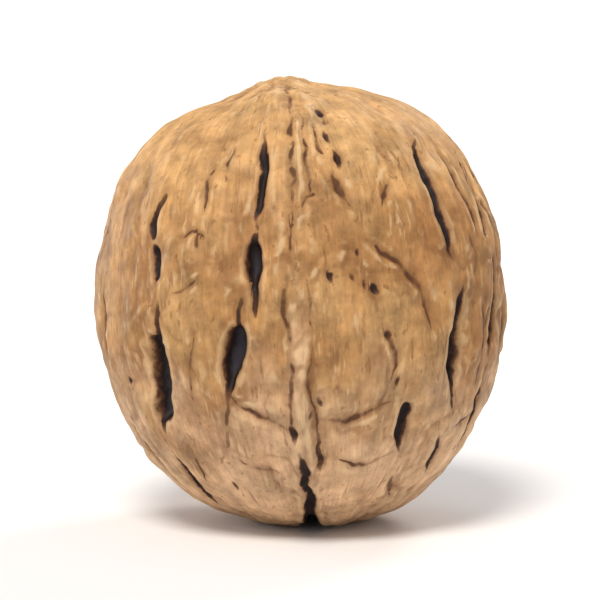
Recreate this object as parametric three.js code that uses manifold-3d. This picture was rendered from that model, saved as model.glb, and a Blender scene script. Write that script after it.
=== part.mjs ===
// A whole, dry walnut in its closed shell, standing on the small flat of its stem end.
// Millimetres, +Z up. The origin lies on the surface that the nut stands on, under the middle
// of its outline. The front of the seam faces -Y, and the two cheeks lie towards -X and +X.
//
// The shell is shaped on its own upright axis first, tip up, with its middle at the origin.
// It is then leaned, cut flat underneath and set down.

import * as THREE from "three";
import { mergeVertices } from "three/addons/utils/BufferGeometryUtils.js";
import Module from "manifold-3d";

// Form of the shell.
const CHEEK_RADIUS = 19.3; // middle to the outside of each cheek
const SEAM_RADIUS = 18.4; // middle to the seam, without its rib
const TOP_HEIGHT = 20.0; // middle to the shoulders round the tip
const TOP_FULLNESS = 2.4; // 2 is an ellipse, and more is squarer
const BASE_DEPTH = 21.0; // middle to the stem end, before its flat is cut
const BASE_FULLNESS = 2.05;
const TIP_HEIGHT = 0.55; // how far the tip stands above the shoulders
const TIP_RADIUS = 1.9;

// The seam: a low rib that narrows downwards and ends in a notch at the stem.
const RIB_HEIGHT = 0.55;
const RIB_HALF_WIDTH_TOP = 2.5;
const RIB_HALF_WIDTH_LOW = 1.2;
const NOTCH_DEPTH = 1.3;
const NOTCH_HALF_WIDTH = 0.8;
const NOTCH_STARTS_AT = -12.5; // height on the shell's own axis
const SCAR_RADIUS = 1.7; // the stem scar in the middle of the base
const SCAR_DEPTH = 0.9;

// Broad unevenness of the cheeks. The right one is fuller towards the tip and the stem end, and
// the left one slopes away there.
const LUMP_WAVES = 9;
const LUMP_HEIGHT = 0.2;
const GOLDEN_ANGLE = Math.PI * (3 - Math.sqrt(5));
const RIGHT_TOP_RISE = 1.5;
const RIGHT_BASE_RISE = 1.2;
const LEFT_TOP_DROP = 1.0;
const LEFT_BASE_DROP = 0.9;

// How the nut stands.
const LEAN_BACK = THREE.MathUtils.degToRad(6);
const LEAN_LEFT = THREE.MathUtils.degToRad(3.5);
const FOOT_DEPTH = 20.35; // middle to the flat that it stands on

// Rows and columns of the surface.
const COLUMNS = 88;
const ROWS = 48;
const COLUMN_CROWDING = 0.18; // draws columns towards the front and back of the seam
const ROW_CROWDING = 0.16; // draws rows towards the tip and the stem end

// The large furrows of the front. Each follows points of [height, longitude in degrees], with
// longitude 0 at the front of the seam and positive to the right, then its width and depth.
const FRONT_FURROWS = [
  { path: [[15.4, -8], [11, -8.8], [7.2, -10.4]], width: 0.9, depth: 0.5 },
  { path: [[6.9, -11.5], [4.4, -11.9], [1.6, -11.7]], width: 1.4, depth: 1.0 },
  { path: [[-0.6, -16.8], [-3.8, -20], [-7, -22.4]], width: 1.9, depth: 1.2 },
  { path: [[-7, -22.4], [-9.5, -24.6], [-13.4, -30]], width: 0.8, depth: 0.3 },
  { path: [[8.8, -45.4], [6.2, -44], [3.4, -42.6]], width: 1.0, depth: 0.7 },
  { path: [[-1.2, -43], [-5.4, -46.2], [-9.7, -50.8]], width: 1.9, depth: 1.1 },
  { path: [[-13, -53], [-15.2, -57], [-17.8, -64]], width: 0.9, depth: 0.45 },
  { path: [[14.8, 52.6], [12.4, 48.4], [8.4, 48.5], [4, 49.9]], width: 1.1, depth: 0.8 },
  { path: [[0.8, 52.2], [-2.8, 50.7], [-6.2, 51], [-9, 52.4]], width: 1.6, depth: 1.0 },
  { path: [[-8.9, 33.7], [-11, 34.5], [-13.4, 35]], width: 1.1, depth: 0.8 },
  { path: [[12.4, 12], [11, 15.5], [9, 17.6]], width: 1.3, depth: 0.45 },
  { path: [[6.1, 21], [4.2, 29.5], [1.9, 37], [-2.4, 40]], width: 1.2, depth: 0.4 },
];

// The furrows of the sides and the back follow a rule: they run down the shell from the tip to
// the stem end, uneven steps of longitude apart, and each is a chain of pits.
const CHAIN_FIRST_LONGITUDE = 70;
const CHAIN_LAST_LONGITUDE = 294;
const CHAIN_STEP = [14, 25];
const CHAIN_WANDER = 6; // degrees
const CHAIN_TOP = 16;
const CHAIN_BOTTOM = -17;
const PIT_LENGTH = [2.5, 8.5];
const PIT_GAP = [1, 8];
const PIT_WIDTH = [0.8, 1.7];
const PIT_DEPTH = [0.3, 0.8];
const SEAM_CLEARANCE = 9; // degrees on either side of the back of the seam with no chain

const SHELL_COLOUR = 0xc39a66;

const { clamp, degToRad, lerp, smoothstep } = THREE.MathUtils;

// A number between low and high that is always the same for the same index.
function pick(index, [low, high]) {
  const wave = Math.sin(index * 12.9898 + 4.1) * 43758.5453;
  return lerp(low, high, wave - Math.floor(wave));
}

// The smooth form: an ellipse seen from above, and a full curve seen from the side.
function formRadius(direction) {
  const across = Math.hypot(direction.x / CHEEK_RADIUS, direction.y / SEAM_RADIUS);
  const isTop = direction.z > 0;
  const along = Math.abs(direction.z) / (isTop ? TOP_HEIGHT : BASE_DEPTH);
  const fullness = isTop ? TOP_FULLNESS : BASE_FULLNESS;
  return (across ** fullness + along ** fullness) ** (-1 / fullness);
}

function formPoint(height, longitude) {
  const isTop = height > 0;
  const fullness = isTop ? TOP_FULLNESS : BASE_FULLNESS;
  const share = clamp(Math.abs(height) / (isTop ? TOP_HEIGHT : BASE_DEPTH), 0, 0.999);
  const across = (1 - share ** fullness) ** (1 / fullness);
  const angle = degToRad(longitude);
  return new THREE.Vector3(
    Math.sin(angle) * across * CHEEK_RADIUS,
    -Math.cos(angle) * across * SEAM_RADIUS,
    height,
  );
}

// Waves in directions that wind round a sphere, so that no two lumps of the shell match.
function lumps(direction) {
  let sum = 0;
  for (let i = 0; i < LUMP_WAVES; i++) {
    const rise = 1 - (2 * i + 1) / LUMP_WAVES;
    const reach = Math.sqrt(1 - rise * rise);
    const turn = i * GOLDEN_ANGLE;
    const along =
      direction.x * reach * Math.cos(turn) +
      direction.y * reach * Math.sin(turn) +
      direction.z * rise;
    const pitch = 4.5 + 0.9 * i;
    sum += Math.sin(pitch * along + 2.3 * i) / Math.sqrt(LUMP_WAVES);
  }
  return LUMP_HEIGHT * sum;
}

// How far the two cheeks stand above the even form or fall short of it.
function slope({ x, z }) {
  const [left, right] = [Math.max(0, -x), Math.max(0, x)];
  const [top, base] = [Math.max(0, z), Math.max(0, -z)];
  const rise = right * (RIGHT_TOP_RISE * top ** 4 + RIGHT_BASE_RISE * base ** 4);
  const drop = left * (LEFT_TOP_DROP * left * top + LEFT_BASE_DROP * base);
  return rise - drop;
}

// Where the middle of the seam lies: it strays a little from the plane x = 0.
function seamOffset(point) {
  const face = point.y < 0 ? 0 : 1.7;
  return 0.35 * Math.sin(point.z * 0.21 + 0.4 + face) - 0.15;
}

function rib(point) {
  const aside = Math.abs(point.x - seamOffset(point));
  const halfWidth = lerp(
    RIB_HALF_WIDTH_LOW,
    RIB_HALF_WIDTH_TOP,
    smoothstep(point.z, -14, 8),
  );
  return RIB_HEIGHT * (1 - smoothstep(aside, halfWidth * 0.55, halfWidth * 1.35));
}

function notch(point) {
  const aside = Math.abs(point.x - seamOffset(point)) / NOTCH_HALF_WIDTH;
  const started = smoothstep(-point.z, -NOTCH_STARTS_AT, BASE_DEPTH - 2);
  return -NOTCH_DEPTH * started * Math.exp(-aside * aside);
}

function scar(point) {
  if (point.z > 0) return 0;
  const q = Math.hypot(point.x, point.y) / SCAR_RADIUS;
  return -SCAR_DEPTH * Math.exp(-(q ** 4));
}

function tip(point) {
  if (point.z < 0) return 0;
  const q = Math.hypot(point.x, point.y) / TIP_RADIUS;
  return TIP_HEIGHT * Math.exp(-(q ** 1.6));
}

// Chains of pits for the sides and the back.
function chainFurrows() {
  const furrows = [];
  let index = 0;
  for (
    let longitude = CHAIN_FIRST_LONGITUDE;
    longitude <= CHAIN_LAST_LONGITUDE;
    longitude += pick(++index, CHAIN_STEP)
  ) {
    if (Math.abs(longitude - 180) < SEAM_CLEARANCE) continue;
    let height = CHAIN_TOP - pick(++index, PIT_GAP);
    while (height > CHAIN_BOTTOM) {
      const length = pick(++index, PIT_LENGTH);
      const end = Math.max(height - length, CHAIN_BOTTOM - 1);
      const stray = pick(++index, [-CHAIN_WANDER, CHAIN_WANDER]);
      furrows.push({
        path: [
          [height, longitude + stray],
          [(height + end) / 2, longitude + stray * 0.3],
          [end, longitude - stray * 0.5],
        ],
        width: pick(++index, PIT_WIDTH),
        depth: pick(++index, PIT_DEPTH),
      });
      height = end - pick(++index, PIT_GAP);
    }
  }
  return furrows;
}

// A furrow as line segments that lie on the smooth form.
function laidOut({ path, width, depth }) {
  const points = path.map(([height, longitude]) => formPoint(height, longitude));
  const lines = points.slice(1).map((end, i) => new THREE.Line3(points[i], end));
  return { lines, width, depth };
}

const FURROWS = [...FRONT_FURROWS, ...chainFurrows()].map(laidOut);

const nearest = new THREE.Vector3();

// A furrow is deepest in its middle and runs out to nothing at both ends.
function furrowDepth({ lines, width, depth }, point) {
  let deepest = 0;
  lines.forEach((line, i) => {
    const t = line.closestPointToPointParameter(point, true);
    const aside = line.at(t, nearest).distanceTo(point);
    const along = (i + t) / lines.length;
    const taper = 1 - Math.abs(2 * along - 1) ** 3;
    const q = aside / (width * (0.35 + 0.3 * taper));
    deepest = Math.max(deepest, depth * taper * Math.exp(-q * q));
  });
  return deepest;
}

function furrows(point) {
  return -Math.max(...FURROWS.map((furrow) => furrowDepth(furrow, point)));
}

function shellPoint(direction) {
  const point = direction.clone().multiplyScalar(formRadius(direction));
  const form = lumps(direction) + slope(direction);
  const relief = rib(point) + notch(point) + scar(point) + tip(point) + furrows(point);
  return point.addScaledVector(direction, form + relief);
}

// A sphere with its poles on Z, and its rows and columns drawn towards the finest shapes.
function shellDirections() {
  const sphere = new THREE.SphereGeometry(1, COLUMNS, ROWS);
  sphere.deleteAttribute("normal");
  sphere.deleteAttribute("uv");
  sphere.rotateX(Math.PI / 2);
  const merged = mergeVertices(sphere, 1e-5);
  const places = merged.getAttribute("position");
  const direction = new THREE.Vector3();
  for (let i = 0; i < places.count; i++) {
    direction.fromBufferAttribute(places, i);
    const polar = Math.acos(clamp(direction.z, -1, 1));
    const turn = Math.atan2(direction.x, -direction.y);
    const newPolar = polar - ROW_CROWDING * Math.sin(2 * polar);
    const newTurn = turn - COLUMN_CROWDING * Math.sin(2 * turn);
    places.setXYZ(
      i,
      Math.sin(newPolar) * Math.sin(newTurn),
      -Math.sin(newPolar) * Math.cos(newTurn),
      Math.cos(newPolar),
    );
  }
  return merged;
}

function uprightShell() {
  const shell = shellDirections();
  const places = shell.getAttribute("position");
  const direction = new THREE.Vector3();
  for (let i = 0; i < places.count; i++) {
    direction.fromBufferAttribute(places, i).normalize();
    const point = shellPoint(direction);
    places.setXYZ(i, point.x, point.y, point.z);
  }
  return shell;
}

const wasm = await Module();
wasm.setup();

function solidFrom(geometry) {
  return new wasm.Manifold(
    new wasm.Mesh({
      numProp: 3,
      vertProperties: new Float32Array(geometry.getAttribute("position").array),
      triVerts: new Uint32Array(geometry.index.array),
    }),
  );
}

function geometryFrom(solid) {
  const { vertProperties, triVerts } = solid.getMesh();
  return new THREE.BufferGeometry()
    .setAttribute("position", new THREE.BufferAttribute(vertProperties, 3))
    .setIndex(new THREE.BufferAttribute(triVerts, 1));
}

// The block under the nut that its standing flat is cut with.
function underside() {
  const size = 4 * CHEEK_RADIUS;
  const block = new THREE.BoxGeometry(size, size, size);
  block.deleteAttribute("normal");
  block.deleteAttribute("uv");
  block.translate(0, 0, -FOOT_DEPTH - size / 2);
  return mergeVertices(block);
}

function standingShell() {
  const leaning = uprightShell().rotateX(-LEAN_BACK).rotateY(-LEAN_LEFT);
  const shell = geometryFrom(solidFrom(leaning).subtract(solidFrom(underside())));
  shell.computeBoundingBox();
  const { min, max } = shell.boundingBox;
  shell.translate(-(min.x + max.x) / 2, -(min.y + max.y) / 2, -min.z);
  shell.computeVertexNormals();
  return shell;
}

const walnut = new THREE.Mesh(
  standingShell(),
  new THREE.MeshStandardMaterial({ color: SHELL_COLOUR, roughness: 0.62, metalness: 0 }),
);
walnut.name = "walnut";

const part = new THREE.Group();
part.add(walnut);

export default part;
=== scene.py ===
"""A whole walnut in its closed shell, standing on the small flat of its stem end.

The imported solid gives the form, the lean and the standing flat. A Geometry Nodes tree casts a fine
mesh onto it, softens its facets, and then carves the furrows, pits and grain of the shell.
Metres, +Z up. The front of the seam faces -Y.
"""
import math

import bpy
from bpy.props import FloatProperty, FloatVectorProperty, IntProperty, PointerProperty
from mathutils import Matrix, Vector
from mathutils.bvhtree import BVHTree


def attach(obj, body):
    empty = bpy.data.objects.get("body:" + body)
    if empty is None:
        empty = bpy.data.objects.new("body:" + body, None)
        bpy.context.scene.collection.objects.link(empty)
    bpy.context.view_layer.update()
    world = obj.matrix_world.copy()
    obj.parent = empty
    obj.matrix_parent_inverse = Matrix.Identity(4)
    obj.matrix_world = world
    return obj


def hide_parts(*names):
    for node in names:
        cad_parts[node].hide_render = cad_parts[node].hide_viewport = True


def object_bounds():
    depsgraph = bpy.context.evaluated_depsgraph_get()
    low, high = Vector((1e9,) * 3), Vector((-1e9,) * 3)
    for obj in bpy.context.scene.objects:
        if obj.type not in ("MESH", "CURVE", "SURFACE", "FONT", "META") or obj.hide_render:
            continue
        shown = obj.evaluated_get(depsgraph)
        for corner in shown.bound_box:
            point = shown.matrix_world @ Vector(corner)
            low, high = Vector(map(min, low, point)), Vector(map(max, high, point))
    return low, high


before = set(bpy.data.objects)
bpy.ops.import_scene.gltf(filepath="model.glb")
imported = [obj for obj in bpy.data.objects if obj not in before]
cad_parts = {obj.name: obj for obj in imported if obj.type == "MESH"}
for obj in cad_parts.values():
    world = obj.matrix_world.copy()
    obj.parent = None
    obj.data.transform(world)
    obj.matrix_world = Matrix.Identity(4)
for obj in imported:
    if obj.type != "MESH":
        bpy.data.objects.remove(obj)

bl_info = {
    "name": "Walnut",
    "version": (1, 0, 0),
    "blender": (4, 5, 0),
    "location": "3D View > Sidebar > Walnut",
    "description": "Makes a whole walnut in its furrowed shell, and a plain studio round it",
    "category": "Add Mesh",
}

MM = 0.001
CAD_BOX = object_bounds()
NUT_HEIGHT = CAD_BOX[1].z - CAD_BOX[0].z
NUT_MIDDLE = (CAD_BOX[0] + CAD_BOX[1]) / 2

# The nut's own axis: its middle, and how it leans back and to the left.
SHELL_MIDDLE = Vector((-0.125, -0.24, 20.35)) * MM
LEAN = Matrix.Rotation(math.radians(-3.5), 3, "Y") @ Matrix.Rotation(math.radians(-6), 3, "X")
REACH = 19.0 * MM  # the radius of the ball that the lines of the shell are measured on
LINE_STEP = 0.06 * MM  # from point to point along a line
LEAST_HALF_WIDTH = 0.03 * MM
SEAM_STRAY = 0.35 * MM  # how far the middle of the seam strays to each side
SEAM_WAVE = 0.21 / MM  # radians of that stray to a metre

# Cells of the shell's finer patterns: how wide each is, and how long down the shell.
TIP_EASE = 0.03  # how softly their columns close up at the tip
FINE_PANEL = (2.6 * MM, 6.0 * MM)
RIPPLE = (2.2 * MM, 7.0 * MM)
FIBRE = (0.45 * MM, 3.5 * MM)
DASH = (0.55 * MM, 2.2 * MM)

# The stage.
FLOOR_RADIUS = 4.0
FLOOR_SIDES = 96
CAMERA_LENS = 250
CAMERA_RISE = math.radians(8)
FRAME_SHARE = 0.74  # how much of the picture's height the nut takes up

# What the shell's tree takes.
SHELL_INPUTS = {
    "Packed solid": "NodeSocketObject",
    "Pits": "NodeSocketObject",
    "Creases": "NodeSocketObject",
    "Material": "NodeSocketMaterial",
    "Middle": "NodeSocketVector",
    "Facets": "NodeSocketInt",
    "Softening": "NodeSocketInt",
    "Gathering": "NodeSocketFloat",
    "Ragged edge": "NodeSocketFloat",
    "Pit depth": "NodeSocketFloat",
    "Crease depth": "NodeSocketFloat",
    "Lip height": "NodeSocketFloat",
    "Vein depth": "NodeSocketFloat",
    "Panel width": "NodeSocketFloat",
    "Panel height": "NodeSocketFloat",
    "Panel rise": "NodeSocketFloat",
    "Rib height": "NodeSocketFloat",
    "Swell height": "NodeSocketFloat",
    "Ripple height": "NodeSocketFloat",
    "Grain height": "NodeSocketFloat",
}

# A line of the shell is a list of points: height, longitude in degrees, and half its width there.
# Heights and half widths are millimetres. Heights are measured from the middle along the nut's own
# axis; longitude 0 is the front of the seam, and it is positive to the right.
FRONT_PITS = [
    # Left of the seam: a crack that opens into a pit, and a chain with a wide pit below it.
    [
        (16.8, -8, 0.05),
        (15.8, -8, 0.1),
        (14.8, -8.2, 0.18),
        (13.4, -8.5, 0.27),
        (11.0, -8.8, 0.25),
        (9.0, -9.4, 0.24),
        (7.6, -10.2, 0.16),
        (6.7, -11.4, 0.2),
        (6.1, -11.6, 0.5),
        (5.2, -11.8, 0.66),
        (4.0, -11.9, 0.68),
        (3.0, -11.8, 0.5),
        (2.2, -11.7, 0.26),
        (1.2, -11.7, 0.18),
        (0.2, -11.9, 0.16),
        (-0.8, -11.6, 0.05),
    ],
    [
        (2.4, -14.6, 0.05),
        (1.2, -15.4, 0.12),
        (0.0, -16.4, 0.18),
        (-0.9, -16.8, 0.2),
        (-1.4, -17.4, 0.64),
        (-2.6, -18.6, 0.84),
        (-4.2, -20.4, 0.84),
        (-5.4, -21.4, 0.58),
        (-6.2, -21.8, 0.34),
        (-7.2, -22.8, 0.12),
        (-9.5, -24.6, 0.12),
        (-11.8, -27.6, 0.1),
        (-13.6, -30.4, 0.05),
    ],
    # The left cheek.
    [
        (12.4, -40, 0.05),
        (10.9, -42, 0.12),
        (9.6, -44, 0.16),
        (8.6, -45.6, 0.22),
        (7.2, -45.2, 0.22),
        (6.5, -44.8, 0.1),
        (6.0, -43.8, 0.36),
        (4.8, -43, 0.42),
        (3.8, -42.6, 0.32),
        (3.2, -42.4, 0.1),
        (2.2, -42, 0.05),
    ],
    [
        (1.8, -42, 0.05),
        (0.8, -42.4, 0.14),
        (-0.4, -42.8, 0.17),
        (-1.5, -43, 0.24),
        (-2.1, -44, 0.82),
        (-3.6, -45, 0.88),
        (-5.8, -46.4, 0.95),
        (-7.8, -48.4, 0.92),
        (-8.9, -49.8, 0.8),
        (-9.5, -50.6, 0.28),
        (-10.4, -51, 0.12),
        (-11.8, -50.4, 0.06),
    ],
    [
        (-12.4, -52, 0.05),
        (-13.4, -53.6, 0.14),
        (-14.4, -55.6, 0.24),
        (-16.0, -59, 0.26),
        (-17.4, -62.6, 0.16),
        (-18.4, -66, 0.05),
    ],
    # The right cheek.
    [
        (15.6, 55, 0.04),
        (14.6, 52, 0.1),
        (13.6, 49.4, 0.2),
        (12.4, 48.4, 0.32),
        (10.8, 48.4, 0.36),
        (9.2, 48.8, 0.34),
        (7.8, 48.3, 0.42),
        (6.4, 48.8, 0.38),
        (5.3, 49.3, 0.28),
        (4.3, 49.8, 0.16),
        (3.3, 50.2, 0.05),
    ],
    [
        (1.6, 52.6, 0.05),
        (0.4, 52, 0.2),
        (-1.0, 51.4, 0.28),
        (-2.2, 50.8, 0.36),
        (-3.2, 50.6, 0.62),
        (-4.6, 50.6, 0.8),
        (-5.8, 50.9, 0.74),
        (-6.6, 51.2, 0.4),
        (-7.6, 51.6, 0.22),
        (-9.0, 52.4, 0.2),
        (-10.6, 54, 0.05),
    ],
    [
        (-9.0, 33.6, 0.14),
        (-9.5, 33.9, 0.38),
        (-10.8, 34.4, 0.34),
        (-12.0, 34.8, 0.26),
        (-13.0, 35, 0.18),
        (-13.8, 35, 0.05),
    ],
    [
        (-12.0, 51.6, 0.05),
        (-13.0, 53.4, 0.18),
        (-14.1, 55.2, 0.27),
        (-15.1, 57, 0.22),
        (-16.4, 60, 0.06),
    ],
    # Small pits right of the seam.
    [(18.2, 15.6, 0.05), (17.7, 16.6, 0.2), (17.2, 16, 0.16), (16.4, 15.6, 0.05)],
    [(15.9, 14.8, 0.05), (15.3, 15.2, 0.17), (14.4, 15.4, 0.08), (13.4, 16.6, 0.2), (12.2, 16.4, 0.05)],
    [(5.3, 18.6, 0.05), (4.9, 17.8, 0.19), (4.3, 16.6, 0.06)],
    [(3.7, 9.4, 0.05), (3.2, 10.1, 0.2), (2.8, 10.3, 0.16), (2.2, 11, 0.05)],
    [(3.4, 15.2, 0.05), (2.8, 15.7, 0.13), (2.3, 16.2, 0.05)],
    [(2.6, 18.8, 0.05), (2.0, 19.4, 0.15), (1.5, 20, 0.05)],
    [(2.4, 21.4, 0.05), (1.9, 22.2, 0.22), (1.5, 22.7, 0.2), (1.0, 23.8, 0.05)],
    # Single small pits.
    [(-1.9, 26, 0.05), (-2.5, 26.2, 0.17), (-3.2, 26.6, 0.05)],
    [(-6.3, 29, 0.05), (-6.9, 29.4, 0.16), (-7.5, 29.8, 0.05)],
    [(-15.4, -33, 0.05), (-15.8, -33.2, 0.16), (-16.3, -33.6, 0.05)],
    [(-5.2, -59.8, 0.05), (-5.6, -60, 0.17), (-6.1, -60.2, 0.05)],
    # Beside the seam, low down.
    [(-10.2, -3.9, 0.05), (-11.0, -3.5, 0.2), (-11.6, -3.3, 0.12), (-12.4, -2.8, 0.05)],
    [(-11.2, 4.4, 0.05), (-12.2, 4.7, 0.14), (-13.6, 4.8, 0.18), (-14.9, 4.6, 0.05)],
    [(-7.7, 4.4, 0.05), (-8.4, 5, 0.15), (-9.1, 4.9, 0.05)],
    [(-9.0, 2.3, 0.05), (-9.5, 2, 0.12), (-10.0, 2.1, 0.05)],
]

# Each crease is half its width in its middle, and then its points.
FRONT_CREASES = [
    # Down the seam, and on either side of its rib.
    (0.15, (20.2, 3), (19.2, 1.4), (17.5, 2.2), (15.5, 1.2), (13.2, 1.5), (10.6, 0.3), (7.6, 0.4)),
    (0.12, (8.6, -0.8), (6.2, -0.2), (4.6, -1.2), (2.6, -0.6)),
    (0.18, (4.6, -2.6), (2.9, -2.4), (1.4, -3.0), (0.1, -3.6), (-1.8, -2.8), (-3.6, -2.2)),
    (0.18, (-3.0, -2.4), (-6.0, -2.9), (-8.3, -4.1), (-10.4, -3.8)),
    (0.13, (3.0, 2.6), (1.6, 3.6), (0.0, 3.3), (-1.9, 3.2)),
    (0.12, (-4.0, 3.2), (-6.4, 2.4), (-8.8, 3.4), (-11.4, 4.4)),
    (0.13, (18.4, 6.6), (15.2, 6.0), (11.6, 6.1), (9.6, 5.4)),
    # On the cheeks.
    (0.18, (-7.3, -22.6), (-8.8, -16), (-10.1, -9), (-10.8, -4.4)),
    (0.16, (-13.2, -26), (-14.3, -18), (-14.8, -10)),
    (0.15, (14.6, -20), (12.8, -21), (11.2, -20.4)),
    (0.15, (13.4, -26), (10.8, -27.6), (9.2, -27)),
    (0.18, (16.4, 11), (14.8, 11.4), (13.6, 11)),
    (0.22, (12.4, 12), (11.4, 15), (10.5, 16), (9.0, 17.6)),
    (0.16, (8.6, 1.6), (9.9, 4.6), (10.3, 8)),
    (0.2, (6.1, 21), (4.6, 27), (3.2, 33), (1.9, 37), (-0.1, 39), (-2.6, 40)),
    (0.16, (11.4, 32.4), (10.3, 30), (8.8, 29)),
    (0.2, (-10.0, 6), (-10.3, 13), (-9.8, 18), (-8.7, 28)),
    (0.18, (-13.8, 11), (-14.2, 21), (-13.6, 33)),
    (0.2, (-15.8, 37), (-17.0, 42), (-17.8, 46)),
    (0.22, (14.6, 63), (10.5, 62), (7.6, 64), (5.0, 63)),
    (0.24, (13.4, 77), (9.0, 75), (6.6, 77), (2.0, 75)),
    (0.2, (6.2, 58), (4.0, 60), (1.6, 58)),
    (0.18, (19.8, -22), (19.0, -28)),
    (0.14, (7.8, -29), (5.7, -29.6)),
    (0.14, (6.4, -24), (7.6, -30), (6.6, -36)),
    (0.16, (3.3, -29), (2.1, -37)),
    (0.16, (-1.2, 24), (-4.2, 28), (-7.2, 27)),
    (0.2, (-0.2, 62), (-4.0, 64), (-8.0, 63)),
    (0.16, (-1.4, -30), (-4.4, -33), (-7.6, -35)),
    (0.16, (-11.8, -42), (-13.6, -44), (-15.4, -45)),
]


def under(turn, half_width, aside=0.0):
    """A point of a line under the nut, turned so many degrees from the stem end to the front."""
    angle = math.radians(turn)
    return Vector((aside, -math.sin(angle), -math.cos(angle))).normalized(), half_width


# The notch that the seam ends in, which runs across the scar of the stem to the back.
NOTCH = [
    (-12.6, -2.6, 0.06),
    (-14.0, -1.8, 0.22),
    (-15.8, -1.2, 0.26),
    under(33, 0.3),
    under(20, 0.42),
    under(8, 0.85),
    under(-4, 0.95),
    under(-14, 0.45),
    under(-26, 0.3),
    under(-40, 0.08),
]

# The rule of the furrows on the sides and the back: chains of pits down the shell.
CHAIN_FIRST_LONGITUDE = 70
CHAIN_LAST_LONGITUDE = 294
CHAIN_STEP = (14, 25)
CHAIN_WANDER = 6
CHAIN_TOP = 16
CHAIN_BOTTOM = -17
PIT_LENGTH = (2.5, 8.5)
PIT_GAP = (1, 8)
SEAM_CLEARANCE = 9  # degrees on either side of the back of the seam with no chain


def pick(index, low, high):
    """A number between low and high that is always the same for the same index."""
    wave = math.sin(index * 12.9898 + 4.1) * 43758.5453
    return low + (high - low) * (wave - math.floor(wave))


def chain(longitude, index):
    """One chain of pits as one line, from thin to wide and back, and the last index it used."""
    index += 1
    height = CHAIN_TOP - pick(index, *PIT_GAP)
    line = [(height + 2, longitude, 0.04)]
    while height > CHAIN_BOTTOM:
        span = pick(index + 1, *PIT_LENGTH)
        stray = pick(index + 2, -CHAIN_WANDER, CHAIN_WANDER)
        fullness = pick(index + 3, 0, 1)
        gap = pick(index + 5, *PIT_GAP)
        end = max(height - span, CHAIN_BOTTOM - 1)
        half_width = 0.16 + 0.55 * fullness**2
        # A share of the pit's length, a share of its stray, and half its width there.
        for share, turn, width in (
            (0, 1, 0.11),
            (0.14, 0.8, half_width * 0.75),
            (0.4 + 0.2 * fullness, 0.3, half_width),
            (0.86, -0.25, half_width * 0.7),
            (1, -0.5, 0.1),
        ):
            line.append((height + (end - height) * share, longitude + stray * turn, width))
        index += 5
        height = end - gap
    line.append((end - 1, longitude - stray, 0.04))
    return line, index


def side_lines():
    """The pits and the creases of the sides and the back."""
    pits, creases = [], []
    index = 0
    longitude = CHAIN_FIRST_LONGITUDE
    while longitude <= CHAIN_LAST_LONGITUDE:
        if abs(longitude - 180) >= SEAM_CLEARANCE:
            line, index = chain(longitude, index)
            pits.append(line)
            widest_places = line[3::5]
            creases += [branch(place, i + index) for i, place in enumerate(widest_places)]
        index += 1
        step = pick(index, *CHAIN_STEP)
        creases += wander(longitude + step / 2, index)
        longitude += step
    # One crease on either side of the back of the seam.
    for side in (-1, 1):
        heights = range(17, -18, -5)
        creases.append((0.2, *((h, 180 + side * pick(h + 40 * side, 3, 7)) for h in heights)))
    return pits, creases


def branch(place, index):
    """A crease that leaves a pit and slants away from it."""
    height, longitude, _ = place
    side = 1 if pick(index, 0, 1) > 0.5 else -1
    turn = side * pick(index + 1, 6, 15)
    drop = pick(index + 2, 1, 4.5)
    bend = pick(index + 3, 0.2, 0.8)
    return (
        pick(index + 4, 0.13, 0.22),
        (height, longitude + side * 2),
        (height - drop * bend, longitude + turn * 0.55),
        (max(height - drop, CHAIN_BOTTOM), longitude + turn),
    )


def wander(longitude, index):
    """Broken creases that wind down the shell."""
    made = []
    height = CHAIN_TOP - pick(index + 7, 0, 5)
    while height > CHAIN_BOTTOM + 5:
        index += 3
        span = pick(index, 3, 9)
        turns = [pick(index + i, -4, 4) for i in range(3)]
        points = ((height - span * i / 2, longitude + turn) for i, turn in enumerate(turns))
        made.append((pick(index + 1, 0.13, 0.24), *points))
        height -= span + pick(index + 2, 1, 6)
    return made


# --------------------------------------------------------------------------- nodes


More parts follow.
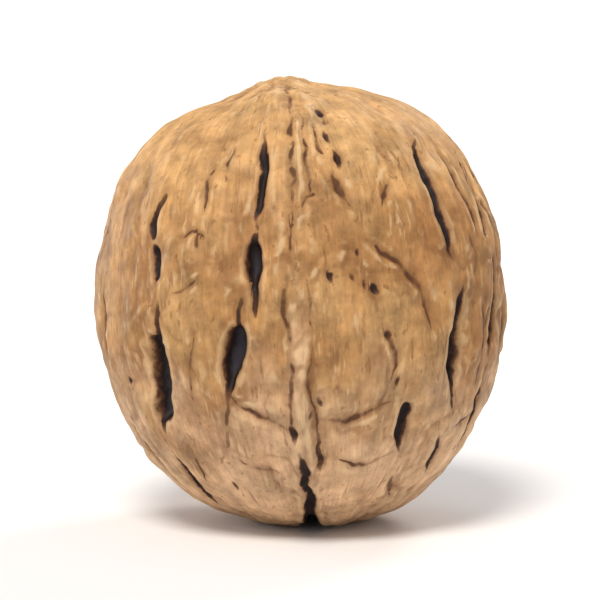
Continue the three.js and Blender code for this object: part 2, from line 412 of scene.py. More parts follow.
class Graph:
    """Adds nodes to one tree. A value given to an input is linked if it is a socket."""

    def __init__(self, tree):
        self.tree = tree

    def feed(self, socket, value):
        if isinstance(value, bpy.types.NodeSocket):
            self.tree.links.new(value, socket)
        else:
            socket.default_value = value

    def add(self, kind, inputs=None, **settings):
        made = self.tree.nodes.new(kind)
        for name, value in settings.items():
            setattr(made, name, value)
        for name, value in (inputs or {}).items():
            found = [s for s in made.inputs if s.name == name and s.enabled]
            self.feed(found[0], value)
        return made

    def out(self, made, name=None):
        return next(s for s in made.outputs if s.enabled and name in (None, s.name))

    def math(self, operation, *values):
        made = self.add("ShaderNodeMath", operation=operation)
        for socket, value in zip(made.inputs, values):
            self.feed(socket, value)
        return made.outputs[0]

    def vector(self, operation, *values, scale=None):
        made = self.add("ShaderNodeVectorMath", operation=operation)
        for socket, value in zip(made.inputs, values):
            self.feed(socket, value)
        if scale is not None:
            self.feed(made.inputs["Scale"], scale)
        return self.out(made)

    def ramp(self, value, start, stop, low=0.0, high=1.0, shape="SMOOTHSTEP"):
        return self.out(
            self.add(
                "ShaderNodeMapRange",
                {"Value": value, "From Min": start, "From Max": stop, "To Min": low, "To Max": high},
                interpolation_type=shape,
            )
        )

    def mix(self, factor, first, second, kind="FLOAT", blend="MIX"):
        made = self.add("ShaderNodeMix", data_type=kind)
        if kind == "RGBA":
            made.blend_type = blend
        first_socket, second_socket = {"FLOAT": (2, 3), "VECTOR": (4, 5), "RGBA": (6, 7)}[kind]
        self.feed(made.inputs[0], factor)
        self.feed(made.inputs[first_socket], first)
        self.feed(made.inputs[second_socket], second)
        return self.out(made)

    def split(self, vector):
        return self.add("ShaderNodeSeparateXYZ", {"Vector": vector}).outputs

    def join(self, x, y, z):
        return self.add("ShaderNodeCombineXYZ", {"X": x, "Y": y, "Z": z}).outputs[0]

    def noise(self, vector, scale, detail=2.0, roughness=0.5, name="Fac"):
        made = self.add(
            "ShaderNodeTexNoise",
            {"Vector": vector, "Scale": scale, "Detail": detail, "Roughness": roughness},
        )
        return made.outputs[name]


# --------------------------------------------------------------------------- lines of the shell


def add_object(name, data):
    made = bpy.data.objects.new(name, data)
    bpy.context.scene.collection.objects.link(made)
    return made


def packed_surface():
    """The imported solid's surface, to cast rays at."""
    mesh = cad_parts["walnut"].data
    corners = [vertex.co for vertex in mesh.vertices]
    return BVHTree.FromPolygons(corners, [face.vertices for face in mesh.polygons])


def direction_at(surface, height, longitude):
    """The direction from the shell's middle, in its upright frame, of a place on its surface."""
    turn = math.radians(longitude)
    outward = LEAN @ Vector((math.sin(turn), -math.cos(turn), 0))
    start = SHELL_MIDDLE + LEAN @ Vector((0, 0, height * MM))
    hit = surface.ray_cast(start, outward)[0]
    if hit is None:
        raise RuntimeError(f"no shell at height {height}, longitude {longitude}")
    return (LEAN.transposed() @ (hit - SHELL_MIDDLE)).normalized()


def knots_of(line, surface):
    """The points that a line goes through, each a direction and half the width there."""
    knots = []
    for point in line:
        direction = direction_at(surface, *point[:2]) if len(point) == 3 else point[0]
        knots.append(Vector((*direction, point[-1])))
    return knots


def tapered(crease):
    """A crease as a line that is thin at both ends."""
    half_width, *points = crease
    if len(points) == 2:
        middle = tuple((a + b) / 2 for a, b in zip(*points))
        points = [points[0], middle, points[1]]
    ends = (0, len(points) - 1)
    return [(*point, half_width * (0.3 if i in ends else 1)) for i, point in enumerate(points)]


def between(before, start, end, after, share):
    """A point of the smooth curve from start to end that comes from before and goes on to after."""
    linear = (end - before) * share
    square = (2 * before - 5 * start + 4 * end - after) * share**2
    cube = (3 * start - before - 3 * end + after) * share**3
    return (2 * start + linear + square + cube) / 2


def line_points(knots):
    """Close points along a smooth line through the knots."""
    ends = [2 * knots[0] - knots[1], *knots, 2 * knots[-1] - knots[-2]]
    points = []
    for i in range(len(knots) - 1):
        span = (knots[i + 1].xyz - knots[i].xyz).length * REACH
        steps = max(2, round(span / LINE_STEP))
        points += [between(*ends[i : i + 4], step / steps) for step in range(steps)]
    return points + [knots[-1]]


def line_object(name, lines, surface):
    """An object of loose points along the lines, on the ball of REACH, each with its half width."""
    points = [point for line in lines for point in line_points(knots_of(line, surface))]
    mesh = bpy.data.meshes.new(name)
    mesh.from_pydata([point.xyz.normalized() * REACH for point in points], [], [])
    half_widths = [max(point.w * MM, LEAST_HALF_WIDTH) for point in points]
    mesh.attributes.new("half_width", "FLOAT", "POINT").data.foreach_set("value", half_widths)
    return add_object(name, mesh)


# --------------------------------------------------------------------------- shell tree


def store(g, geometry, name, value, kind="FLOAT"):
    return g.add(
        "GeometryNodeStoreNamedAttribute",
        {"Geometry": geometry, "Name": name, "Value": value},
        data_type=kind,
        domain="POINT",
    ).outputs[0]


def named(g, name, kind="FLOAT"):
    return g.add("GeometryNodeInputNamedAttribute", {"Name": name}, data_type=kind).outputs[0]


def blur(g, value, steps, kind="FLOAT"):
    return g.add(
        "GeometryNodeBlurAttribute", {"Value": value, "Iterations": steps}, data_type=kind
    ).outputs[0]


def moved(g, geometry, **where):
    """The geometry with its points put at a Position or moved by an Offset."""
    return g.add("GeometryNodeSetPosition", {"Geometry": geometry, **where}).outputs[0]


class NearestLine:
    """The line that is nearest to a place."""

    def __init__(self, g, lines, place):
        points = g.add("GeometryNodeObjectInfo", {"Object": lines}).outputs["Geometry"]
        near = g.add("GeometryNodeSampleNearest", {"Geometry": points, "Sample Position": place})

        def sample(value, kind):
            return g.add(
                "GeometryNodeSampleIndex",
                {"Geometry": points, "Value": value, "Index": near.outputs[0]},
                data_type=kind,
            ).outputs[0]

        self.point = sample(g.add("GeometryNodeInputPosition").outputs[0], "FLOAT_VECTOR")
        self.half_width = sample(named(g, "half_width"), "FLOAT")
        self.size = g.math("DIVIDE", self.half_width, MM)
        offset = g.vector("SUBTRACT", place, self.point)
        # How far the place is past the line's edge, and where it is from the line in half widths.
        self.gap = g.math("SUBTRACT", g.vector("LENGTH", offset), self.half_width)
        self.aside = g.vector("SCALE", offset, scale=g.math("DIVIDE", 1.0, self.half_width))
        self.away = g.vector("LENGTH", self.aside)


def even_ball(g, facets):
    """A ball of nearly even facets: a cube whose points are spread, and then drawn to a ball."""
    cube = g.add(
        "GeometryNodeMeshCube",
        {"Size": (2, 2, 2), "Vertices X": facets, "Vertices Y": facets, "Vertices Z": facets},
    ).outputs["Mesh"]
    place = g.add("GeometryNodeInputPosition").outputs[0]
    spread = g.vector("TANGENT", g.vector("SCALE", place, scale=math.pi / 4))
    return moved(g, cube, Position=g.vector("NORMALIZE", spread))


def gathered(g, ball, lines, share):
    """The ball with its points drawn towards the slim lines, so that each line has enough."""
    on_ball = g.vector("SCALE", g.add("GeometryNodeInputPosition").outputs[0], scale=REACH)
    line = NearestLine(g, lines, on_ball)
    slim = g.ramp(line.half_width, 0.5 * MM, 0.2 * MM)
    close = g.math("MULTIPLY", g.ramp(line.gap, 0.8 * MM, 0.0), slim)
    pull = g.math("MULTIPLY", close, share)
    towards = g.vector("SCALE", g.vector("SUBTRACT", line.point, on_ball), scale=pull)
    even = blur(g, g.vector("ADD", on_ball, towards), 2, "FLOAT_VECTOR")
    return moved(g, ball, Position=g.vector("NORMALIZE", even))


def cast_shell(g, group):
    """A ball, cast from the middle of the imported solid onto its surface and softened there."""
    ball = even_ball(g, group["Facets"])
    for lines in ("Creases", "Pits"):
        ball = gathered(g, ball, group[lines], group["Gathering"])
    place = g.add("GeometryNodeInputPosition").outputs[0]
    ball = store(g, ball, "upright", place, "FLOAT_VECTOR")
    leaning = g.add(
        "ShaderNodeVectorRotate",
        {"Vector": place, "Rotation": tuple(LEAN.to_euler("XYZ"))},
        rotation_type="EULER_XYZ",
    ).outputs[0]
    solid = g.add("GeometryNodeObjectInfo", {"Object": group["Packed solid"]}).outputs["Geometry"]
    ray = g.add(
        "GeometryNodeRaycast",
        {
            "Target Geometry": solid,
            "Source Position": group["Middle"],
            "Ray Direction": leaning,
            "Ray Length": 4 * REACH,
        },
    )
    # A ray that slips between two facets gives way to the surface's nearest point.
    guess = g.vector("ADD", group["Middle"], g.vector("SCALE", leaning, scale=REACH))
    nearest = g.add("GeometryNodeProximity", {"Geometry": solid, "Sample Position": guess})
    landed = g.add(
        "GeometryNodeSwitch",
        {
            "Switch": ray.outputs["Is Hit"],
            "False": nearest.outputs["Position"],
            "True": ray.outputs["Hit Position"],
        },
        input_type="VECTOR",
    ).outputs[0]
    cast = moved(g, ball, Position=landed)
    return moved(g, cast, Position=blur(g, place, group["Softening"], "FLOAT_VECTOR"))


def ragged(g, place, amount, scale):
    """The place moved by an even noise, so that what is measured from it gets uneven edges."""
    stretched = g.vector("MULTIPLY", place, (1, 1, 0.5))
    stray = g.vector("SUBTRACT", g.noise(stretched, scale, name="Color"), (0.5,) * 3)
    return g.vector("ADD", place, g.vector("SCALE", stray, scale=amount))


def meridian_place(g, upright, width, height):
    """Coordinates that are cells of that size on the shell, in columns that meet at the tip."""
    x, y, z = g.split(upright)
    squares = g.math("ADD", g.math("MULTIPLY", x, x), g.math("MULTIPLY", y, y))
    reach = g.math("SQRT", g.math("ADD", squares, TIP_EASE))
    return g.join(
        g.math("MULTIPLY", g.math("DIVIDE", x, reach), g.math("DIVIDE", REACH, width)),
        g.math("MULTIPLY", g.math("DIVIDE", y, reach), g.math("DIVIDE", REACH, width)),
        g.math("MULTIPLY", z, g.math("DIVIDE", REACH, height)),
    )


def seam_aside(g, place):
    """How far a place is from the middle of the seam, which strays a little, and its height."""
    across, _, along = g.split(place)
    stray = g.math("SINE", g.math("ADD", g.math("MULTIPLY", along, SEAM_WAVE), 0.4))
    middle = g.math("MULTIPLY", stray, SEAM_STRAY)
    return g.math("ABSOLUTE", g.math("SUBTRACT", across, middle)), along


def crease_strength(g, place):
    """Creases come and go along their length."""
    return g.ramp(g.noise(place, 450, 3), 0.36, 0.56, 0.35, 1.0)


def patchy(g, place, scale):
    """1 in some patches of the shell and 0 in the others."""
    return g.ramp(g.noise(g.vector("ADD", place, (0.3, 0.1, 0)), scale, 2), 0.42, 0.58)


def band(g, gap, start, top, end):
    """0 up to start, 1 at top, and 0 again from end."""
    return g.math("MULTIPLY", g.ramp(gap, start, top), g.ramp(gap, end, top))


def centred(g, place, scale, detail=2.0, roughness=0.5):
    """Noise round 0."""
    return g.math("SUBTRACT", g.noise(place, scale, detail, roughness), 0.5)


def depth_of(g, line, usual):
    """How deep a line of the shell is, which grows more slowly than its width."""
    return g.math("MULTIPLY", g.math("POWER", line.size, 0.75), usual)


def pit_relief(g, pit, place):
    """Steep walls round a deep floor, in a shallow dent, and the lip that it has in places."""
    dent = g.math("MULTIPLY", g.ramp(pit.gap, 1.6 * MM, -0.2 * MM), 0.14)
    lip = band(g, pit.gap, 0.05 * MM, 0.3 * MM, 0.9 * MM)
    shown = g.math("MULTIPLY", g.ramp(pit.size, 0.1, 0.5), patchy(g, place, 420))
    return g.math("ADD", dent, g.ramp(pit.away, 1.25, 0.35)), g.math("MULTIPLY", lip, shown)


def crease_relief(g, crease, place):
    """A narrow core in a shallow valley, and the ridge on either side of it."""
    strength = crease_strength(g, place)
    core = g.math("MULTIPLY", g.ramp(crease.away, 1.5, 0.0), strength)
    valley = g.math("MULTIPLY", g.ramp(crease.gap, 1.1 * MM, -0.1 * MM), 0.45)
    rise = g.ramp(crease.gap, 0.1 * MM, 0.4 * MM)
    fall = g.ramp(crease.gap, 1.2 * MM, 0.5 * MM)
    ridge = g.math("MULTIPLY", g.math("MULTIPLY", rise, fall), strength)
    return g.math("ADD", core, valley), g.math("MULTIPLY", ridge, patchy(g, place, 300))


def veins(g, place, cells, stray, width):
    """The edges of uneven cells of the shell, and how far in from them a place is."""
    noise = g.vector("SUBTRACT", g.noise(place, 220, 3, name="Color"), (0.5,) * 3)
    cell_place = g.vector("ADD", cells, g.vector("SCALE", noise, scale=stray))
    voronoi = g.add(
        "ShaderNodeTexVoronoi",
        {"Vector": cell_place, "Scale": 1.0, "Randomness": 1.0},
        feature="DISTANCE_TO_EDGE",
    )
    inward = g.out(voronoi)
    return g.ramp(inward, width, 0.0), inward


def vein_relief(g, place, upright, group):
    """The veins between panels, finer veins, and the panels. The veins come and go."""
    panels = meridian_place(g, upright, group["Panel width"], group["Panel height"])
    vein, inward = veins(g, place, panels, 0.9, 0.055)
    vein = g.math("MULTIPLY", vein, patchy(g, place, 160))
    fine_vein, _ = veins(g, place, meridian_place(g, upright, *FINE_PANEL), 1.1, 0.12)
    fine_shown = g.ramp(g.noise(g.vector("ADD", place, (0, 0.3, 0)), 210, 2), 0.46, 0.64)
    return vein, g.math("MULTIPLY", fine_vein, fine_shown), g.ramp(inward, 0.0, 0.42)


def rib_relief(g, place):
    """The rib of the seam: broad and low above, narrow and higher below."""
    aside, along = seam_aside(g, place)
    half_width = g.ramp(along, -8 * MM, 8 * MM, 0.95 * MM, 2.4 * MM)
    share = g.ramp(along, 6 * MM, -4 * MM, 0.6, 1.3)
    return g.math("MULTIPLY", g.ramp(g.math("DIVIDE", aside, half_width), 1.3, 0.5), share)


def shell_tree():
    """Casts the shell, carves it, and stores on it what its material reads."""
    tree = bpy.data.node_groups.new("Walnut shell", "GeometryNodeTree")
    for name, kind in SHELL_INPUTS.items():
        tree.interface.new_socket(name, in_out="INPUT", socket_type=kind)
    tree.interface.new_socket("Shell", in_out="OUTPUT", socket_type="NodeSocketGeometry")
    g = Graph(tree)
    group = g.add("NodeGroupInput").outputs

    shell = cast_shell(g, group)
    upright = named(g, "upright", "FLOAT_VECTOR")
    place = g.vector("SCALE", upright, scale=REACH)
    fine_stray = g.math("MULTIPLY", group["Ragged edge"], 0.4)
    rough_place = ragged(g, ragged(g, place, group["Ragged edge"], 520), fine_stray, 1300)
    pit = NearestLine(g, group["Pits"], rough_place)
    crease = NearestLine(g, group["Creases"], rough_place)

    pits, lip = pit_relief(g, pit, place)
    creases, ridge = crease_relief(g, crease, place)
    vein, fine_vein, panel = vein_relief(g, place, upright, group)
    squat_place = g.vector("MULTIPLY", place, (1, 1, 0.6))
    relief = 0.0
    for part, height in (
        (pits, g.math("MULTIPLY", depth_of(g, pit, group["Pit depth"]), -1.0)),
        (lip, group["Lip height"]),
        (creases, g.math("MULTIPLY", depth_of(g, crease, group["Crease depth"]), -1.0)),
        (ridge, g.math("MULTIPLY", group["Lip height"], 0.7)),
        (vein, g.math("MULTIPLY", group["Vein depth"], -1.0)),
        (fine_vein, g.math("MULTIPLY", group["Vein depth"], -0.6)),
        (panel, group["Panel rise"]),
        (rib_relief(g, place), group["Rib height"]),
        (centred(g, squat_place, 190), group["Swell height"]),
        (centred(g, meridian_place(g, upright, *RIPPLE), 1.0), group["Ripple height"]),
        (centred(g, place, 620), g.math("MULTIPLY", group["Ripple height"], 0.5)),
        (centred(g, squat_place, 1500, 3, 0.6), group["Grain height"]),
    ):
        relief = g.math("MULTIPLY_ADD", part, height, relief)

    shell = store(g, shell, "relief", relief)
    shell = store(g, shell, "vein", g.math("MAXIMUM", vein, g.math("MULTIPLY", fine_vein, 0.7)))
    for name, line in (("pit", pit), ("crease", crease)):
        shell = store(g, shell, name + "_aside", line.aside, "FLOAT_VECTOR")
        shell = store(g, shell, name + "_gap", g.math("DIVIDE", line.gap, MM))
        shell = store(g, shell, name + "_size", line.size)
    stored = named(g, "relief")
    normal = g.add("GeometryNodeInputNormal").outputs[0]
    shell = moved(g, shell, Offset=g.vector("SCALE", normal, scale=blur(g, stored, 1)))
    x, y, z = g.split(g.add("GeometryNodeInputPosition").outputs[0])
    shell = moved(g, shell, Position=g.join(x, y, g.math("MAXIMUM", z, 0.0)))

    # How far a place lies below what is close round it, and the furrows that are broader than a line.
    # The material paints shade and highlights from these.
    hollow = g.math("SUBTRACT", blur(g, stored, 14), stored)
    basin = g.math("SUBTRACT", blur(g, stored, 90), blur(g, stored, 8))
    shell = store(g, shell, "hollow", g.math("DIVIDE", hollow, MM))
    shell = store(g, shell, "basin", g.math("DIVIDE", basin, MM))
    shell = g.add("GeometryNodeSetShadeSmooth", {"Geometry": shell}).outputs[0]
    shell = g.add("GeometryNodeRealizeInstances", {"Geometry": shell}).outputs[0]
    shell = g.add(
        "GeometryNodeSetMaterial", {"Geometry": shell, "Material": group["Material"]}
    ).outputs[0]
    g.feed(g.add("NodeGroupOutput").inputs[0], shell)
    return tree


# --------------------------------------------------------------------------- material


class Paint(Graph):
    """Lays one coat of colour over another, and reads what the shell's mesh stores."""

    def __init__(self, tree, colours):
        super().__init__(tree)
        self.colours = colours
        self.coat = None
        self.place = self.add("ShaderNodeTexCoord").outputs["Object"]
        self.upright = self.read("upright", "Vector")
        self.on_ball = self.vector("SCALE", self.upright, scale=REACH)
        self.rough = self.math("MULTIPLY", centred(self, self.place, 1300, 3, 0.55), 0.85)

    def read(self, name, output="Fac"):
        return self.add("ShaderNodeAttribute", attribute_name=name).outputs[output]

    def away_from(self, line):
        """Half widths from a line. Its stored place keeps it sharp, and its gap keeps it single."""
        gap = self.math("SUBTRACT", self.read(line + "_gap"), 0.2)
        least = self.math("ADD", self.math("DIVIDE", gap, self.read(line + "_size")), 1.0)
        aside = self.vector("LENGTH", self.read(line + "_aside", "Vector"))
        return self.math("ADD", self.math("MAXIMUM", aside, least), self.rough)

    def tint(self, where, share, name):
        """Lays one of the shell's colours over a share of what is there."""
        factor = self.math("MULTIPLY", where, share)
        self.coat = self.mix(factor, self.coat, self.colours[name], "RGBA")

    def shade(self, factor):
        """Makes the colour so many times as bright."""
        grey = self.join(factor, factor, factor)
        self.coat = self.mix(1.0, self.coat, grey, "RGBA", "MULTIPLY")


def lay_ground(p):
    """Broad patches, a painted paleness towards the stem end that stands for light thrown up from the
    floor, a painted highlight on the top, a brown belt, and the pale rib.
    """
    patches = p.ramp(p.noise(p.place, 130, 3), 0.36, 0.66)
    p.coat = p.mix(patches, p.colours["tan"], p.colours["pale"], "RGBA")
    warm = p.ramp(p.noise(p.vector("ADD", p.place, (0.2, 0.1, 0)), 100, 3), 0.42, 0.64)
    p.tint(warm, 0.7, "warm")
    height = p.split(p.upright)[2]
    level = p.math("MULTIPLY_ADD", centred(p, p.place, 160, 3), 1.2, height)
    # Painted light: the part towards the stem end is made paler and pinker, standing in for light
    # thrown up from the floor.
    p.tint(p.ramp(level, -0.15, -0.75), 0.85, "bloom")
    # Painted highlight: the top is made paler, where the light from above falls on it.
    p.tint(p.ramp(level, 0.3, 0.8), 0.6, "crown")
    belt = p.ramp(p.math("ABSOLUTE", p.math("ADD", level, 0.08)), 0.7, 0.2)
    p.shade(p.math("SUBTRACT", 1.0, p.math("MULTIPLY", belt, 0.2)))
    aside, along = seam_aside(p, p.on_ball)
    rib = p.math("MULTIPLY", p.ramp(aside, 1.3 * MM, 0.5 * MM), p.ramp(along, 4 * MM, -5 * MM))
    p.tint(rib, 0.55, "bloom")


def lay_grain(p, fibre_place):
    """Mottling, fibres, smudges, dashes, streaks and flecks. Returns where the dashes are."""
    p.shade(p.ramp(p.noise(p.place, 420, 5, 0.66), 0.3, 0.7, 0.6, 1.28, "LINEAR"))
    p.shade(p.ramp(p.noise(fibre_place, 1.0, 3, 0.6), 0.3, 0.7, 0.84, 1.14, "LINEAR"))
    smudges = p.noise(p.vector("MULTIPLY", p.on_ball, (1, 1, 0.6)), 330, 4, 0.6)
    p.tint(p.ramp(smudges, 0.5, 0.68), 0.3, "furrow")
    x, y, _ = p.split(p.upright)
    off_tip = p.ramp(p.math("ADD", p.math("MULTIPLY", x, x), p.math("MULTIPLY", y, y)), 0.03, 0.3)
    dash_place = meridian_place(p, p.upright, *DASH)
    dashes = p.ramp(p.noise(dash_place, 1.0, 2), 0.6, 0.7)
    dashes = p.math("MULTIPLY", p.math("MULTIPLY", dashes, patchy(p, p.place, 200)), off_tip)
    p.tint(dashes, 0.5, "furrow")
    streaks = p.ramp(p.noise(p.vector("ADD", dash_place, (7, 3, 5)), 1.0, 2), 0.58, 0.7)
    streaks = p.math("MULTIPLY", p.math("MULTIPLY", streaks, patchy(p, p.place, 150)), off_tip)
    p.tint(streaks, 0.4, "rim")
    flecks = p.noise(p.vector("MULTIPLY", p.place, (1, 1, 0.55)), 1500, 2)
    p.tint(p.ramp(flecks, 0.64, 0.72), 0.55, "furrow")
    return dashes


def lay_painted_light_and_shade(p):
    """Painted highlight, pale, on what stands up and on the lips round pits, and painted shade, brown,
    in what lies low and along the veins.
    """
    # Painted shade: brown in the broad furrows.
    p.tint(p.ramp(p.read("basin"), 0.02, 0.25), 0.45, "furrow")
    hollow = p.read("hollow")
    pit_gap = p.read("pit_gap")
    lip_shown = p.math("MULTIPLY", p.ramp(p.read("pit_size"), 0.1, 0.4), patchy(p, p.on_ball, 420))
    lip = p.math("MULTIPLY", band(p, pit_gap, 0.2, 0.35, 0.8), lip_shown)
    # Painted highlight: pale on what stands above its surroundings and on the lips round the pits.
    raised_highlight = p.math("MULTIPLY", p.ramp(hollow, -0.03, -0.14), p.ramp(pit_gap, 0.1, 1.1, 0.3, 1.0))
    p.tint(p.math("MAXIMUM", raised_highlight, p.math("MULTIPLY", lip, 0.4)), 0.55, "rim")
    # Painted shade: brown in the hollows and along the veins.
    shade_in_hollows_and_veins = p.math("MAXIMUM", p.ramp(hollow, 0.02, 0.18), p.math("MULTIPLY", p.read("vein"), 0.7))
    p.tint(shade_in_hollows_and_veins, 0.6, "furrow")


def lay_creases(p):
    """Painted shade in the creases: brown valleys, each with a dark line in it. Returns where the dark
    lines are.
    """
    strength = crease_strength(p, p.on_ball)
    # Painted shade: the valley round a crease is made browner.
    valley = p.math("MULTIPLY", p.ramp(p.read("crease_gap"), 0.35, -0.1), strength)
    p.tint(valley, 0.35, "furrow")
    # Painted shade: a near black line down the middle of each crease, where its groove lies.
    core = p.math("MULTIPLY", p.ramp(p.away_from("crease"), 1.1, 0.35), strength)
    p.tint(core, 0.92, "edge")
    return core


def lay_pits(p):
    """Stained edges, and painted shade inside: dark walls, and a near black floor that is ashen in the
    widest pits.
    """
    size = p.read("pit_size")
    away = p.away_from("pit")
    stain = p.math("MULTIPLY", p.ramp(p.read("pit_gap"), 0.5, 0.0), p.ramp(size, 0.05, 0.3))
    p.tint(stain, 0.45, "furrow")
    # Painted shade: the walls of the pits are made dark.
    p.tint(p.ramp(away, 1.3, 0.95), p.ramp(size, 0.03, 0.2), "edge")
    # Painted shade: the floor of each pit is made near black, with an ashen tint in the widest ones.
    ash = p.math("MULTIPLY", p.ramp(size, 0.5, 0.8), p.ramp(away, 0.75, 0.3))
    floor = p.mix(ash, p.colours["pit"], p.colours["ash"], "RGBA")
    deep = p.math("MULTIPLY", p.ramp(away, 1.05, 0.7), p.ramp(size, 0.05, 0.28))
    p.coat = p.mix(deep, p.coat, floor, "RGBA")


def shell_material(colours):
    """Dry matt shell: tan in soft patches; painted shade, brown in its furrows and near black in its
    pits; painted light, pale on its top, towards its stem end and on what stands up.
    """
    material = bpy.data.materials.new("Walnut shell")
    material.use_nodes = True
    material.node_tree.nodes.clear()
    p = Paint(material.node_tree, colours)
    fibre_place = meridian_place(p, p.upright, *FIBRE)
    lay_ground(p)
    dashes = lay_grain(p, fibre_place)
    lay_painted_light_and_shade(p)
    creases = lay_creases(p)
    lay_pits(p)

    bumps = p.noise(p.vector("MULTIPLY", p.place, (1, 1, 0.6)), 2600, 3, 0.6)
    for part, rise in ((p.noise(fibre_place, 2.0, 2), 0.5), (creases, -1.2), (dashes, -0.5)):
        bumps = p.math("MULTIPLY_ADD", part, rise, bumps)
    bump = p.add("ShaderNodeBump", {"Height": bumps, "Strength": 0.4, "Distance": 0.12 * MM})
    surface = p.add(
        "ShaderNodeBsdfPrincipled",
        {
            "Base Color": p.coat,
            "Roughness": p.ramp(p.noise(p.place, 900, 3), 0.3, 0.7, 0.52, 0.7, "LINEAR"),
            "Specular IOR Level": 0.22,
            "Normal": bump.outputs[0],
        },
    )
    p.feed(p.add("ShaderNodeOutputMaterial").inputs["Surface"], surface.outputs[0])
    return material


# --------------------------------------------------------------------------- properties


def length_property(name, description, millimetres):
    return FloatProperty(
        name=name, description=description, default=millimetres * MM, unit="LENGTH", precision=5
    )


def colour_property(name, description, value):
    return FloatVectorProperty(
        name=name, description=description, default=value, size=4, subtype="COLOR", min=0, max=1
    )


class WalnutShape(bpy.types.PropertyGroup):
    """Sizes of the shell's relief."""

    facets: IntProperty(name="Facets", description="Points along an edge of the ball", default=126)
    softening: IntProperty(name="Softening", description="Blur of the packed solid", default=36)
    gathering: FloatProperty(
        name="Gathering", description="How far the mesh is drawn towards pits and creases", default=0.55
    )
    ragged_edge: length_property("Ragged edge", "How far the edges of pits and creases stray", 0.85)
    pit_depth: length_property("Pit depth", "Depth of a pit 2 mm wide", 1.45)
    crease_depth: length_property("Crease depth", "Depth that a crease 2 mm wide would have", 0.9)
    lip_height: length_property("Lip height", "How far the lip round a pit stands up", 0.16)
    vein_depth: length_property("Vein depth", "Depth of the veins between panels", 0.16)
    panel_width: length_property("Panel width", "Usual distance from vein to vein across", 7.5)
    panel_height: length_property("Panel height", "Usual distance from vein to vein down the shell", 12)
    panel_rise: length_property("Panel rise", "How far a panel stands above its edges", 0.16)
    rib_height: length_property("Rib height", "How far the rib of the seam stands up", 0.3)
    swell_height: length_property("Swell height", "Height of the broad swells", 0.9)
    ripple_height: length_property("Ripple height", "Height of the ripples down the shell", 0.6)
    grain_height: length_property("Grain height", "Height of the finest relief", 0.08)


class WalnutColours(bpy.types.PropertyGroup):
    """Colours of the shell. Some of them paint light and shade on it."""

    tan: colour_property("Tan", "Most of the shell", (0.50, 0.252, 0.088, 1))
    pale: colour_property("Pale", "Paler patches of the shell", (0.60, 0.34, 0.135, 1))
    # Painted highlight: a paler top, standing in for the light from above.
    crown: colour_property("Crown", "Paler top of the shell", (0.68, 0.40, 0.165, 1))
    warm: colour_property("Warm", "Redder patches of the shell", (0.42, 0.185, 0.062, 1))
    # Painted light: paler and pinker towards the stem end, standing in for light thrown up from the
    # floor. It also makes the rib of the seam pale.
    bloom: colour_property("Bloom", "Dusty bloom towards the stem end", (0.68, 0.44, 0.26, 1))
    # Painted highlight on the lips and on what stands up; it also paints pale streaks of grain.
    rim: colour_property("Rim", "Lips and raised edges", (0.74, 0.52, 0.29, 1))
    # Real stains and marks, and painted shade in the valleys, veins, furrows and creases.
    furrow: colour_property("Furrow", "Valleys, veins and stains", (0.2, 0.085, 0.03, 1))
    # Painted shade: the dark line of the creases and the walls of the pits.
    edge: colour_property("Edge", "Creases, and the walls of the pits", (0.09, 0.034, 0.015, 1))
    # Painted shade: the near black inside of the pits, and their ashen floors.
    pit: colour_property("Pit", "Inside of the pits", (0.014, 0.007, 0.006, 1))
    ash: colour_property("Ash", "Floors of the widest pits", (0.036, 0.03, 0.037, 1))


def values(settings):
    """The settings of a group by name."""
    return {name: getattr(settings, name) for name in settings.__annotations__}


# --------------------------------------------------------------------------- operators


class WALNUT_OT_shell(bpy.types.Operator):
    """Make the walnut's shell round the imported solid"""

    bl_idname = "walnut.shell"
    bl_label = "Make the shell"

    def execute(self, context):
        surface = packed_surface()
        side_pits, side_creases = side_lines()
        creases = map(tapered, FRONT_CREASES + side_creases)
        pit_lines = line_object("pit_lines", [*FRONT_PITS, NOTCH, *side_pits], surface)
        crease_lines = line_object("crease_lines", creases, surface)
        colours = {k: tuple(v) for k, v in values(context.scene.walnut_colours).items()}
        given = {
            "Packed solid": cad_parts["walnut"],
            "Pits": pit_lines,
            "Creases": crease_lines,
            "Material": shell_material(colours),
            "Middle": SHELL_MIDDLE,
        }
        for name, value in values(context.scene.walnut_shape).items():
            given[name.replace("_", " ").capitalize()] = value
        shell = grown("walnut_shell", shell_tree(), given)
        for lines in (pit_lines, crease_lines):
            bpy.data.objects.remove(lines)
        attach(shell, "root")
        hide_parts("walnut")
        return {"FINISHED"}


def grown(name, tree, given):
    """The tree's result as a plain mesh object."""
    seed = add_object(name + "_seed", bpy.data.meshes.new(name + "_seed"))
    modifier = seed.modifiers.new(tree.name, "NODES")
    modifier.node_group = tree
    for socket in tree.interface.items_tree:
        if socket.in_out == "INPUT":
            modifier[socket.identifier] = given[socket.name]
    depsgraph = bpy.context.evaluated_depsgraph_get()
    mesh = bpy.data.meshes.new_from_object(
        seed.evaluated_get(depsgraph), preserve_all_data_layers=True, depsgraph=depsgraph
    )
    mesh.name = name
    bpy.data.objects.remove(seed)
    if not mesh.polygons:
        raise RuntimeError(f"{tree.name} made no faces")
    return add_object(name, mesh)


def pointed(direction):
    """The turn of a light or a camera that looks in a direction."""
    return direction.to_track_quat("-Z", "Y").to_euler()


def pale_floor():
    turns = [i * math.tau / FLOOR_SIDES for i in range(FLOOR_SIDES)]
    ring = [(math.cos(turn) * FLOOR_RADIUS, math.sin(turn) * FLOOR_RADIUS, 0) for turn in turns]
    mesh = bpy.data.meshes.new("floor")
    mesh.from_pydata(ring, [], [range(FLOOR_SIDES)])
    paper = bpy.data.materials.new("Pale floor")
    paper.use_nodes = True
    shader = paper.node_tree.nodes["Principled BSDF"]
    shader.inputs["Base Color"].default_value = (0.86, 0.85, 0.84, 1)
    shader.inputs["Roughness"].default_value = 0.9
    mesh.materials.append(paper)
    add_object("floor", mesh)


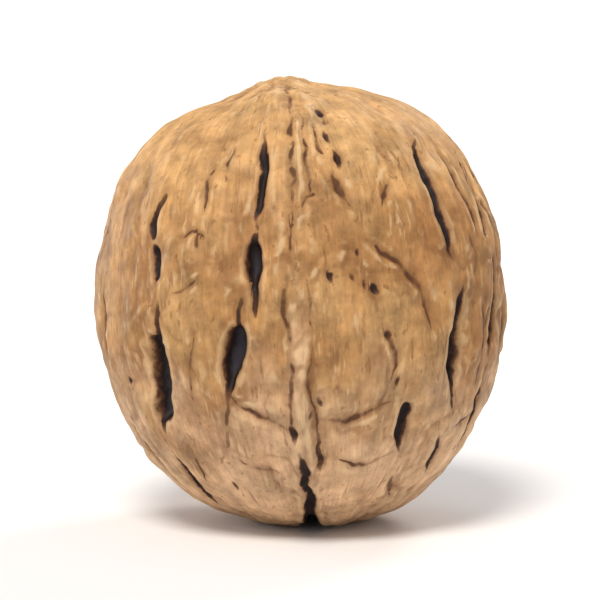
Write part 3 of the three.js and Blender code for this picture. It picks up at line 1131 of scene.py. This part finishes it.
def soft_sun():
    """A broad soft light from the front, high up and a little to the left."""
    sun = bpy.data.lights.new("key", "SUN")
    sun.energy = 2.6
    sun.angle = math.radians(22)
    sun.color = (1.0, 0.96, 0.90)
    add_object("key", sun).rotation_euler = pointed(Vector((0.22, 0.68, -1.05)))


def rim_light(name, place, power, tint):
    """A disc of light behind the nut, which draws its outline."""
    disc = bpy.data.lights.new(name, "AREA")
    disc.shape = "DISK"
    disc.size = 0.25
    disc.energy = power
    disc.color = tint
    light = add_object(name, disc)
    light.location = place
    light.rotation_euler = pointed(NUT_MIDDLE - Vector(place))


def studio_world():
    world = bpy.data.worlds.new("Studio")
    world.use_nodes = True
    background = world.node_tree.nodes["Background"]
    background.inputs["Color"].default_value = (0.95, 0.96, 1.0, 1)
    background.inputs["Strength"].default_value = 0.5
    return world


def front_camera():
    """The camera looks at the front of the seam, from a little above."""
    lens = bpy.data.cameras.new("camera")
    lens.lens = CAMERA_LENS
    lens.sensor_width = 36
    lens.clip_start = 0.01
    distance = NUT_HEIGHT / FRAME_SHARE * lens.lens / lens.sensor_width
    back = Vector((0, -math.cos(CAMERA_RISE), math.sin(CAMERA_RISE)))
    camera = add_object("camera", lens)
    camera.location = NUT_MIDDLE + back * distance
    camera.rotation_euler = pointed(-back)
    return camera


class WALNUT_OT_stage(bpy.types.Operator):
    """Make the floor, the lights and the camera"""

    bl_idname = "walnut.stage"
    bl_label = "Make the stage"

    def execute(self, context):
        pale_floor()
        soft_sun()
        rim_light("rim_left", (-0.5, 0.35, 0.12), 1.2, (0.92, 0.94, 1.0))
        rim_light("rim_right", (0.35, 0.5, 0.5), 2.0, (1.0, 0.97, 0.93))
        context.scene.world = studio_world()
        context.scene.view_settings.view_transform = "Standard"
        context.scene.camera = front_camera()
        return {"FINISHED"}


class WALNUT_PT_panel(bpy.types.Panel):
    """Lists the walnut's sizes, colours and operators"""

    bl_idname = "WALNUT_PT_panel"
    bl_label = "Walnut"
    bl_space_type = "VIEW_3D"
    bl_region_type = "UI"
    bl_category = "Walnut"

    def draw(self, context):
        for settings in (context.scene.walnut_shape, context.scene.walnut_colours):
            box = self.layout.box()
            for name in settings.__annotations__:
                box.prop(settings, name)
        for operator in OPERATORS:
            self.layout.operator(operator.bl_idname)


OPERATORS = (WALNUT_OT_shell, WALNUT_OT_stage)
CLASSES = (WalnutShape, WalnutColours, *OPERATORS, WALNUT_PT_panel)


def register():
    for item in CLASSES:
        bpy.utils.register_class(item)
    bpy.types.Scene.walnut_shape = PointerProperty(type=WalnutShape)
    bpy.types.Scene.walnut_colours = PointerProperty(type=WalnutColours)


def unregister():
    del bpy.types.Scene.walnut_shape
    del bpy.types.Scene.walnut_colours
    for item in reversed(CLASSES):
        bpy.utils.unregister_class(item)


def main():
    register()
    bpy.ops.walnut.stage()
    bpy.ops.walnut.shell()


if __name__ == "__main__":
    main()
